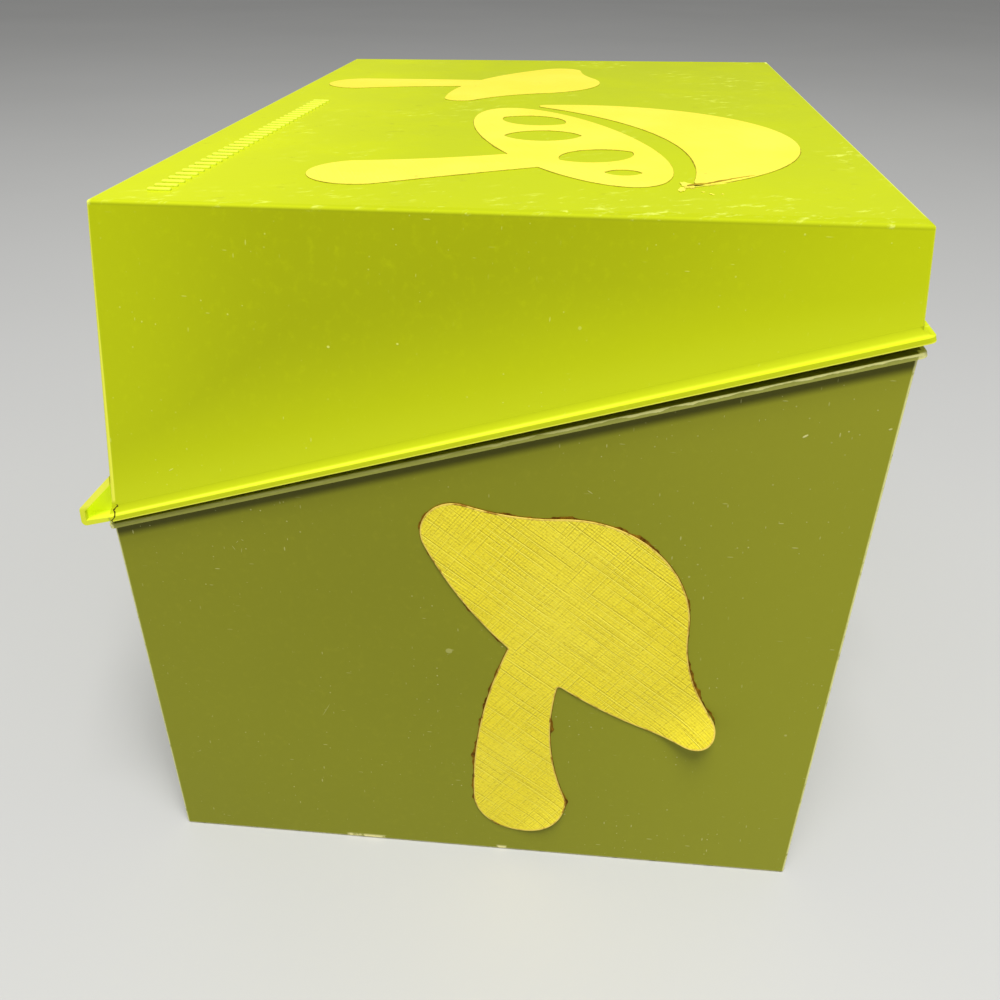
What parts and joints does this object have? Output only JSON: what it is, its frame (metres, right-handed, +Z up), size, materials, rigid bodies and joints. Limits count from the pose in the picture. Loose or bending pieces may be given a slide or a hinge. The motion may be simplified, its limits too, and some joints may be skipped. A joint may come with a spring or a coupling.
{
  "type": "recipe box",
  "caption": "Hinged two-tone plastic recipe box with a slanted mouth, a pull lip, cut-out vinyl mushrooms and a leaning index of tabbed dividers and cards.",
  "frame": {"origin": "centre of the base's flat underside", "axes": "+Z up, front with the pull lip towards -Y, hinge towards +Y, decorated side wall towards +X"},
  "size_m": [0.141, 0.1067, 0.0973],
  "materials": {
    "olive_plastic": "semi-gloss moulded",
    "lime_plastic": "semi-gloss moulded",
    "yellow_vinyl": "linen embossed",
    "pin_steel": "drawn wire",
    "divider_board": "uncoated",
    "card_paper": "uncoated"
  },
  "bodies": {
    "base": {"base": "olive_plastic", "hinge_pin_left": "pin_steel", "hinge_pin_right": "pin_steel", "side_mushroom": "yellow_vinyl"},
    "lid": {"lid": "lime_plastic", "lid_mushroom_cap": "yellow_vinyl", "lid_mushroom_stem": "yellow_vinyl", "lid_small_mushroom": "yellow_vinyl"},
    "section_1": {"index_divider_1": "divider_board", "recipe_cards_1": "card_paper"},
    "section_2": {"index_divider_2": "divider_board", "recipe_cards_2": "card_paper"},
    "section_3": {"index_divider_3": "divider_board", "recipe_cards_3": "card_paper"},
    "section_4": {"index_divider_4": "divider_board", "recipe_cards_4": "card_paper"},
    "section_5": {"index_divider_5": "divider_board", "recipe_cards_5": "card_paper"}
  },
  "joints": [
    {"name": "lid_hinge", "type": "hinge", "parent": "base", "child": "lid", "pos_m": [0, 0.05096, 0.08656], "axis": [-1, 0, 0], "range_deg": [0, 105]},
    {"name": "index_tip_1", "type": "hinge", "parent": "base", "child": "section_1", "pos_m": [0, 0.02292, 0.00238], "axis": [1, 0, 0], "range_deg": [0, 24]},
    {"name": "index_tip_2", "type": "hinge", "parent": "base", "child": "section_2", "pos_m": [0, 0.02585, 0.00238], "axis": [1, 0, 0], "range_deg": [0, 20]},
    {"name": "index_tip_3", "type": "hinge", "parent": "base", "child": "section_3", "pos_m": [0, 0.02877, 0.00238], "axis": [1, 0, 0], "range_deg": [0, 15]},
    {"name": "index_tip_4", "type": "hinge", "parent": "base", "child": "section_4", "pos_m": [0, 0.0317, 0.00238], "axis": [1, 0, 0], "range_deg": [0, 10]},
    {"name": "index_tip_5", "type": "hinge", "parent": "base", "child": "section_5", "pos_m": [0, 0.03463, 0.00238], "axis": [1, 0, 0], "range_deg": [0, 5]}
  ],
  "couplings": [
    {"joint": "index_tip_2", "follows": "index_tip_1", "ratio": 0.8},
    {"joint": "index_tip_3", "follows": "index_tip_1", "ratio": 0.6},
    {"joint": "index_tip_4", "follows": "index_tip_1", "ratio": 0.4},
    {"joint": "index_tip_5", "follows": "index_tip_1", "ratio": 0.2}
  ]
}
